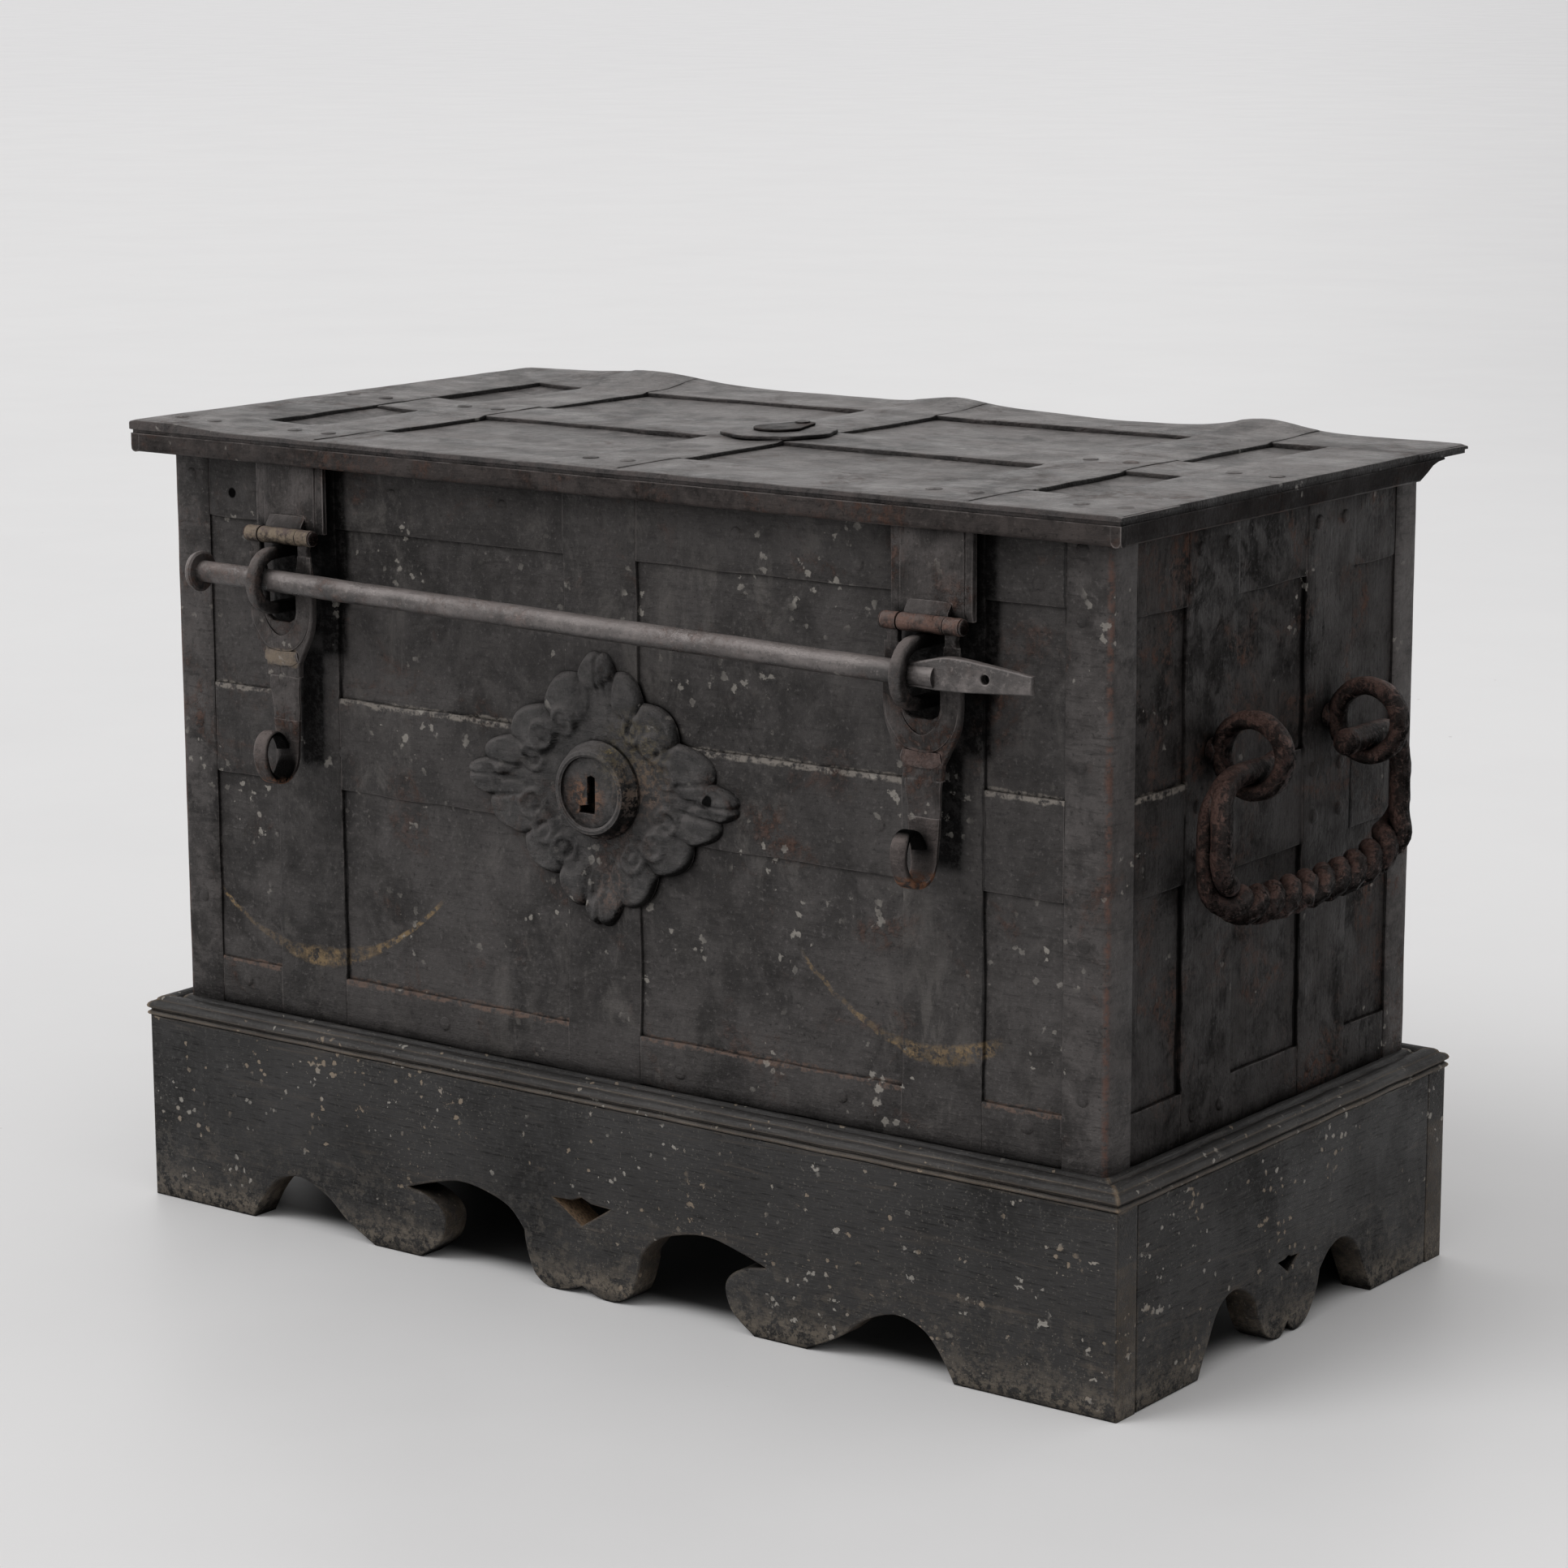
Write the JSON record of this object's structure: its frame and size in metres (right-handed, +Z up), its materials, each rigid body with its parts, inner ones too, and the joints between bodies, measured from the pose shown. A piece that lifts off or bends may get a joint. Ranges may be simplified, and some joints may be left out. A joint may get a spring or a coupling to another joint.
{
  "type": "iron strongbox",
  "caption": "Iron-bound strongbox on a low sawn wooden stand, with hasps, staples and a locking rod, a bolt lock under the lid, and bail handles at both ends.",
  "frame": {"origin": "bottom centre of the whole object's box, on the floor", "axes": "+X to the right seen from the front, front towards -Y, +Z up"},
  "size_m": [0.922, 0.4793, 0.5866],
  "materials": {
    "iron": "worn dark paint over hammered iron, rust at the edges",
    "lid_iron": "rubbed and dusty dark paint over iron",
    "rod_iron": "rubbed forged iron, light brown tone",
    "rusty_iron": "rusty forged iron",
    "lock_iron": "oiled dark forged iron",
    "stand_wood": "worn black paint over sawn boards"
  },
  "bodies": {
    "chest": {"stand_front_board": "stand_wood", "stand_back_board": "stand_wood", "stand_left_board": "stand_wood", "stand_right_board": "stand_wood", "stand_front_moulding": "stand_wood", "stand_right_moulding": "stand_wood", "stand_back_moulding": "stand_wood", "stand_left_moulding": "stand_wood", "stand_left_bearer": "stand_wood", "stand_right_bearer": "stand_wood", "floor_plate": "iron", "front_plate": "iron", "back_plate": "iron", "left_plate": "iron", "right_plate": "iron", "corner_angle_front_left": "iron", "corner_angle_front_right": "iron", "corner_angle_back_left": "iron", "corner_angle_back_right": "iron", "front_straps": "iron", "back_straps": "iron", "left_straps": "iron", "right_straps": "iron", "mouth_frame": "iron", "hinge_body_leaf_left": "iron", "hinge_pin_left": "iron", "hinge_body_leaf_right": "iron", "hinge_pin_right": "iron", "staple_left": "iron", "staple_right": "iron", "escutcheon": "iron", "keyhole_boss": "iron", "eye_right_front": "rusty_iron", "eye_right_back": "rusty_iron", "eye_left_front": "rusty_iron", "eye_left_back": "rusty_iron"},
    "lid": {"lid_plate": "lid_iron", "lid_straps": "lid_iron", "lid_rim": "lid_iron", "hinge_lid_leaf_left": "iron", "hinge_lid_leaf_right": "iron", "hanger_left": "iron", "hasp_pin_left": "rusty_iron", "hanger_right": "iron", "hasp_pin_right": "rusty_iron", "lock_plate": "lock_iron", "lid_rosette": "lid_iron"},
    "left_hasp": {"hasp_left": "iron"},
    "right_hasp": {"hasp_right": "iron"},
    "rod": {"locking_rod": "rod_iron"},
    "right_bail": {"bail_right": "rusty_iron"},
    "left_bail": {"bail_left": "rusty_iron"},
    "disc": {"key_disc": "lock_iron"},
    "right_bolt": {"lock_bolt_right": "lock_iron"},
    "back_bolt": {"lock_bolt_back": "lock_iron"},
    "left_bolt": {"lock_bolt_left": "lock_iron"},
    "front_bolt": {"lock_bolt_front": "lock_iron"},
    "cover": {"keyhole_cover": "lid_iron"}
  },
  "joints": [
    {"name": "lid_hinge", "type": "hinge", "parent": "chest", "child": "lid", "pos_m": [0, 0.2148, 0.5595], "axis": [-1, 0, 0], "range_deg": [0, 112]},
    {"name": "left_hasp_swing", "type": "hinge", "parent": "lid", "child": "left_hasp", "pos_m": [-0.2745, -0.20575, 0.5073], "axis": [-1, 0, 0], "range_deg": [0, 9]},
    {"name": "right_hasp_swing", "type": "hinge", "parent": "lid", "child": "right_hasp", "pos_m": [0.2745, -0.20575, 0.4973], "axis": [-1, 0, 0], "range_deg": [0, 9]},
    {"name": "rod_slide", "type": "slide", "parent": "chest", "child": "rod", "axis": [-0.9998, 0, 0.0182], "range_m": [0, 0.66]},
    {"name": "right_bail_swing", "type": "hinge", "parent": "chest", "child": "right_bail", "pos_m": [0.431, 0.012, 0.3978], "axis": [0, -1, 0], "range_deg": [0, 170]},
    {"name": "left_bail_swing", "type": "hinge", "parent": "chest", "child": "left_bail", "pos_m": [-0.431, 0.012, 0.3978], "axis": [0, 1, 0], "range_deg": [0, 170]},
    {"name": "key_turn", "type": "hinge", "parent": "lid", "child": "disc", "pos_m": [0, 0.012, 0.552], "axis": [0, 0, -1], "range_deg": [0, 20]},
    {"name": "right_bolt_slide", "type": "slide", "parent": "lid", "child": "right_bolt", "axis": [1, 0, 0], "range_m": [0, 0.0139]},
    {"name": "back_bolt_slide", "type": "slide", "parent": "lid", "child": "back_bolt", "axis": [0, 1, 0], "range_m": [0, 0.0139]},
    {"name": "left_bolt_slide", "type": "slide", "parent": "lid", "child": "left_bolt", "axis": [-1, 0, 0], "range_m": [0, 0.0139]},
    {"name": "front_bolt_slide", "type": "slide", "parent": "lid", "child": "front_bolt", "axis": [0, -1, 0], "range_m": [0, 0.0139]},
    {"name": "cover_swing", "type": "hinge", "parent": "lid", "child": "cover", "pos_m": [0, 0.04, 0.583], "axis": [0, 0, 1], "range_deg": [0, 100]}
  ],
  "couplings": [
    {"joint": "right_bolt_slide", "follows": "key_turn", "m_per_rad": 0.0398},
    {"joint": "back_bolt_slide", "follows": "key_turn", "m_per_rad": 0.0398},
    {"joint": "left_bolt_slide", "follows": "key_turn", "m_per_rad": 0.0398},
    {"joint": "front_bolt_slide", "follows": "key_turn", "m_per_rad": 0.0398}
  ]
}
